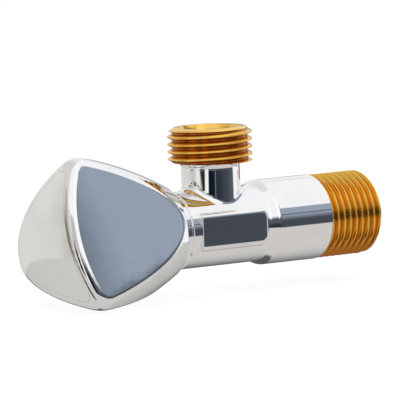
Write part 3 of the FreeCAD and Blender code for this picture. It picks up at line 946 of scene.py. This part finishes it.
@dataclass(frozen=True)
class Gap:
    """A dark gap between two bright walls, in degrees.

    For each degree of elevation it moves by lean, and its half width shrinks by narrowing.
    """

    azimuth: float
    half_width: float
    low: float
    high: float
    colour: Colour
    lean: float = 0.0
    narrowing: float = 0.0
    side_softness: float = 4.0
    low_softness: float = 12.0
    high_softness: float = 10.0

    def mask(self, round_about: Sock, height: Sock) -> Sock:
        """Where the gap is seen.

        Args:
            round_about: The azimuth of what is seen.
            height: Its elevation.

        Returns:
            The mask.
        """
        aside = round_about - self.azimuth - height * self.lean
        distance = aside.size() + height * self.narrowing
        inside = 1 - distance.above(self.half_width, self.side_softness)
        over = height.above(self.low, self.low_softness)
        return inside * over * (1 - height.above(self.high, self.high_softness))


@dataclass(frozen=True)
class Window:
    """A bright window from one elevation upwards, in degrees."""

    start: float = -5.0
    end: float = 12.0
    foot: float = 12.0
    side_softness: float = 10.0
    foot_softness: float = 8.0
    colour: Colour = (1.12, 1.12, 1.12)

    def mask(self, round_about: Sock, height: Sock) -> Sock:
        """Where the window is seen.

        Args:
            round_about: The azimuth of what is seen.
            height: Its elevation.

        Returns:
            The mask.
        """
        begun = round_about.above(self.start, self.side_softness)
        ended = round_about.above(self.end, self.side_softness)
        return begun * (1 - ended) * height.above(self.foot, self.foot_softness)


GAPS = [
    # A doorway, seen in the knob's cover.
    Gap(
        azimuth=-111.0,
        half_width=5.0,
        low=-50.0,
        high=42.0,
        colour=linear(60, 57, 52),
        lean=-0.55,
        narrowing=0.16,
    ),
    # A bench, seen in the wrench pad and the shoulder.
    Gap(azimuth=4.0, half_width=24.0, low=-2.0, high=14.0, colour=linear(84, 91, 99)),
    # The upright and the lower edge of the grey wall that the knob's facets show.
    Gap(
        azimuth=18.6,
        half_width=2.6,
        low=17.0,
        high=38.0,
        colour=linear(96, 107, 121),
        lean=0.38,
    ),
    Gap(
        azimuth=-66.5,
        half_width=8.0,
        low=13.0,
        high=30.0,
        colour=linear(84, 94, 106),
        lean=6.45,
    ),
]
RINGS = [
    Ring(
        foot=-95,
        softness=1,
        walls=(
            (-180, linear(205, 203, 198)),
            (-150, linear(209, 207, 202)),
            (-105, linear(212, 209, 204)),
            (70, linear(212, 208, 204)),
            (96, linear(206, 203, 198)),
            (118, linear(188, 186, 183)),
            (132, linear(154, 153, 152)),
            (145, linear(88, 87, 88)),
            (165, linear(96, 95, 95)),
            (172, linear(200, 198, 193)),
        ),
    ),
    Ring(
        foot=-12,
        softness=1.5,
        walls=(
            (-180, linear(226, 225, 221)),
            (-126, linear(222, 220, 215)),
            (-118, linear(206, 203, 194)),
            (-106, linear(188, 186, 176)),
            (-84, linear(226, 225, 222)),
            (-79, linear(226, 225, 222)),
            (-76, linear(66, 56, 46)),
            (-57.5, linear(50, 44, 34)),
            (-55, WHITE),
            (-44, WHITE),
            (-41.5, linear(10, 18, 26)),
            (-18, linear(24, 34, 44)),
            (-15.5, linear(120, 140, 160)),
            (-13, linear(40, 47, 56)),
            (2, linear(42, 49, 58)),
            (34, linear(70, 75, 83)),
            (58, linear(88, 95, 102)),
            (62, linear(92, 99, 108)),
            (67, WHITE),
            (108, WHITE),
            (112, linear(112, 121, 136)),
            (144, linear(146, 152, 160)),
            (150, linear(210, 209, 206)),
            (180, linear(226, 225, 221)),
        ),
    ),
    Ring(
        foot=9,
        softness=15,
        walls=(
            (-180, linear(228, 227, 223)),
            (-140, linear(227, 226, 222)),
            (-126, linear(212, 209, 203)),
            (-119, linear(170, 167, 154)),
            (-109, linear(172, 171, 160)),
            (-80, linear(231, 231, 229)),
            (-68, linear(217, 216, 213)),
            (-56, linear(201, 199, 195)),
            (-34, linear(190, 189, 184)),
            (-23, linear(223, 222, 219)),
            (-19, WHITE),
            (26, WHITE),
            (28.5, linear(92, 100, 112)),
            (31.5, linear(136, 148, 164)),
            (35, linear(155, 166, 182)),
            (45, linear(155, 166, 182)),
            (50, linear(120, 132, 146)),
            (60, linear(140, 152, 166)),
            (88, linear(156, 168, 182)),
            (94, WHITE),
            (130, WHITE),
            (180, linear(228, 227, 223)),
        ),
    ),
    Ring(
        foot=30,
        softness=2,
        walls=(
            (-180, linear(220, 218, 215)),
            (-112, linear(218, 217, 213)),
            (-90, linear(225, 224, 221)),
            (-70, WHITE),
            (130, WHITE),
            (180, linear(220, 218, 215)),
        ),
    ),
]


@dataclass(frozen=True)
class Lamp:
    """One soft square lamp, in degrees, millimetres and watts."""

    name: str
    azimuth: float
    elevation: float
    size: float
    power: float
    distance: float = 600.0

    def build(self, target: Vector) -> None:
        """Hang the lamp so that it points at a target, given in metres."""
        way = towards(self.azimuth, self.elevation)
        data = bpy.data.lights.new(self.name, "AREA")
        data.size = self.size * MM
        data.energy = self.power
        lamp = bpy.data.objects.new(self.name, data)
        bpy.context.scene.collection.objects.link(lamp)
        lamp.rotation_euler = way.to_track_quat("Z", "Y").to_euler()
        lamp.location = target + way * self.distance * MM
        lamp.visible_glossy = False


@dataclass
class Studio:
    """Floor, lamps, surroundings and camera, in millimetres and degrees."""

    azimuth: float = -34.047
    elevation: float = 5.94
    roll: float = -1.981
    distance: float = 1200.0
    target: tuple[float, float, float] = (-33.32, 0.0, 6.99)
    focal_px: float = 4872.6
    image_px: float = 400.0
    sensor_width: float = 36.0
    clip_end: float = 20000.0
    floor_size: float = 4000.0
    floor_drop: float = 16.4
    floor_colour: Colour = (0.86, 0.86, 0.85)
    floor_glow: float = 1.03
    floor_glow_share: float = 0.9
    lamps: tuple[Lamp, ...] = (
        Lamp("key_lamp", azimuth=-70, elevation=55, size=400, power=2.2),
        Lamp("fill_lamp", azimuth=60, elevation=40, size=500, power=1.2),
    )

    def camera(self) -> None:
        """Set up the camera at the photograph's angle."""
        back = towards(self.azimuth, self.elevation)
        right = (-back).cross(Vector((0, 0, 1))).normalized()
        up = right.cross(-back)
        turn = math.radians(self.roll)
        right, up = (
            right * math.cos(turn) + up * math.sin(turn),
            up * math.cos(turn) - right * math.sin(turn),
        )
        data = bpy.data.cameras.new("camera")
        data.sensor_width = self.sensor_width
        data.lens = self.focal_px * self.sensor_width / self.image_px
        data.clip_end = self.clip_end * MM
        camera = bpy.data.objects.new("camera", data)
        bpy.context.scene.collection.objects.link(camera)
        turned = Matrix((right, up, back)).transposed().to_4x4()
        place = (Vector(self.target) + back * self.distance) * MM
        camera.matrix_world = Matrix.Translation(place) @ turned
        bpy.context.scene.camera = camera

    def surroundings(self) -> None:
        """A white backdrop for the camera, and a furnished studio for what the metal shows."""
        world = bpy.data.worlds.new("studio")
        world.use_nodes = True
        bpy.context.scene.world = world
        graph = Graph(world.node_tree)
        way = graph.node("ShaderNodeTexCoord", output="Generated")
        split = graph.node("ShaderNodeSeparateXYZ", values={0: way}).socket.node
        x, y, z = (Sock(graph, socket) for socket in split.outputs)
        degrees = 180 / math.pi
        raised = graph.node("ShaderNodeMath", {"operation": "ARCSINE"}, {0: z})
        turned = graph.node("ShaderNodeMath", {"operation": "ARCTAN2"}, {0: x, 1: 0 - y})
        height, round_about = raised * degrees, turned * degrees
        share = ramp_place(round_about)
        scene: Value = WHITE
        for ring in RINGS:
            colours = graph.node("ShaderNodeValToRGB", {"stops": ring.stops()}, {0: share})
            scene = graph.mix(height.above(ring.foot, ring.softness), scene, colours)
        for pane in (*GAPS, Window()):
            scene = graph.mix(pane.mask(round_about, height), scene, pane.colour)
        seen = graph.node("ShaderNodeLightPath", output="Is Camera Ray")
        colour = graph.mix(seen, scene, WHITE)
        shader = graph.node("ShaderNodeBackground", {}, {"Color": colour, "Strength": 1.0})
        graph.end_in("ShaderNodeOutputWorld", shader)

    def floor(self) -> None:
        """A pale floor that keeps the valve's shadow and that the metal doesn't mirror."""
        Bench.put_down()
        place = (0, 0, -self.floor_drop * MM)
        bpy.ops.mesh.primitive_plane_add(size=self.floor_size * MM, location=place)
        floor = bpy.context.active_object
        floor.name = "floor"
        material, graph = new_graph("pale_floor")
        matt = graph.node("ShaderNodeBsdfDiffuse", {}, {"Color": self.floor_colour})
        glow = {"Color": WHITE, "Strength": self.floor_glow}
        light = graph.node("ShaderNodeEmission", {}, glow)
        seen = graph.node("ShaderNodeLightPath", output="Is Camera Ray")
        parts = {0: seen * self.floor_glow_share, 1: matt, 2: light}
        mixed = graph.node("ShaderNodeMixShader", {}, parts)
        graph.end_in("ShaderNodeOutputMaterial", mixed)
        floor.data.materials.append(material)
        floor.visible_glossy = False

    def build(self) -> None:
        """Set the whole studio up."""
        self.camera()
        self.surroundings()
        self.floor()
        for lamp in self.lamps:
            lamp.build(Vector(self.target) * MM)


# ---------------------------------------------------------------- the whole valve


@dataclass
class AngleValve:
    """The forged body with its two threaded ends, and the pieces that stay as packed."""

    forged: ForgedBody
    inlet: ThreadedEnd
    outlet: ThreadedEnd
    inlet_thread_end: float = 14.5
    outlet_thread_end: float = 24.3

    @classmethod
    def as_packed(cls) -> "AngleValve":
        """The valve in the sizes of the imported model, in millimetres."""
        forged = ForgedBody()
        inlet = ThreadedEnd(
            name="inlet_threaded_end",
            way=Way.INLET,
            foot=Vector((0, 0, 0)),
            blank=PipeBlank(
                back=-0.899,
                front=15.1,
                bore_radius=6.8,
                mouth_radius=7.3,
                mouth_depth=0.5,
                rim_radius=9.2,
            ),
            thread=PipeThread(crest_rounding=0.1, root_rounding=0.4),
            crest=11.717,
        )
        outlet = ThreadedEnd(
            name="outlet_threaded_end",
            way=Way.OUTLET,
            foot=Vector((forged.outlet_axis * MM, 0, 0)),
            blank=PipeBlank(
                back=forged.neck_top,
                front=24.9,
                bore_radius=6.78,
                mouth_radius=7.55,
                mouth_depth=1.3,
                rim_radius=8.85,
                ledge=1.0,
                ledge_radius=5.0,
            ),
            thread=PipeThread(),
            crest=22.637,
            crest_turn=145.95,
        )
        return cls(forged, inlet, outlet)

    def build(self) -> None:
        """Build and dress the new pieces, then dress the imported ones."""
        plate = PlatedChrome().material("body_chrome")
        knob_plate = PlatedChrome().material("knob_chrome")
        # The inlet's valleys get a lighter painted shade. The outlet's crests get a more golden
        # pale colour, partly a painted highlight.
        inlet_finish = TurnedBrass(shaded_valley=linear(206, 138, 58), crest_radius=10.4)
        inlet_brass = inlet_finish.material(
            "inlet_brass", Way.INLET, self.inlet.foot, self.inlet_thread_end
        )
        outlet_finish = TurnedBrass(crest=linear(253, 206, 106))
        outlet_brass = outlet_finish.material(
            "outlet_brass", Way.OUTLET, self.outlet.foot, self.outlet_thread_end
        )
        self.forged.dress(self.forged.build(), plate, inlet_brass)
        self.inlet.dress(self.inlet.build(), inlet_brass)
        self.outlet.dress(self.outlet.build(), outlet_brass)
        self.dress_packed_nodes(
            {
                Slot.PLATED_BODY: plate,
                Slot.PLATED_KNOB: knob_plate,
                Slot.TURNED_BRASS: inlet_brass,
                **self.inner_finishes(),
            }
        )

    @staticmethod
    def inner_finishes() -> dict[Slot, bpy.types.Material]:
        """The finishes of what is neither plated nor brass, by slot."""
        rubber = Satin(
            linear(22, 22, 23), linear(40, 40, 41), roughness=0.42, spread=0.2, grain=0.3
        )
        ceramic = Satin(
            linear(236, 232, 222), linear(246, 244, 238), roughness=0.18, spread=0.12, grain=0.1
        )
        acetal = Satin(
            linear(224, 222, 214), linear(238, 237, 232), roughness=0.34, spread=0.15, grain=0.2
        )
        moulding = Satin(
            linear(28, 28, 30), linear(48, 48, 51), roughness=0.4, spread=0.2, grain=0.3
        )
        return {
            Slot.STAINLESS: TurnedSteel().material("stainless_steel"),
            Slot.SEAL_RUBBER: rubber.material("nitrile_rubber"),
            Slot.ALUMINA: ceramic.material("white_ceramic"),
            Slot.MOULDED_ACETAL: acetal.material("natural_acetal"),
            Slot.MOULDED_INSERT: moulding.material("black_moulding"),
        }

    @staticmethod
    def dress_packed_nodes(finishes: dict[Slot, bpy.types.Material]) -> None:
        """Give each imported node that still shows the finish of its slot."""
        for part in frame["record"]["subparts"]:
            node = frame["nodes"][part["node"]]
            if not node.hide_render:
                dress(node, [finishes[Slot(part["material_slot"])]])
                LOG.info("%s: packed node, %s", node.name, part["material_slot"])


def main() -> None:
    """Set the studio up and build the looks in it."""
    logging.basicConfig(level=logging.INFO, format="%(name)s: %(message)s")
    bpy.context.scene.view_settings.view_transform = "Standard"
    Studio().build()
    AngleValve.as_packed().build()


if __name__ == "__main__":
    main()
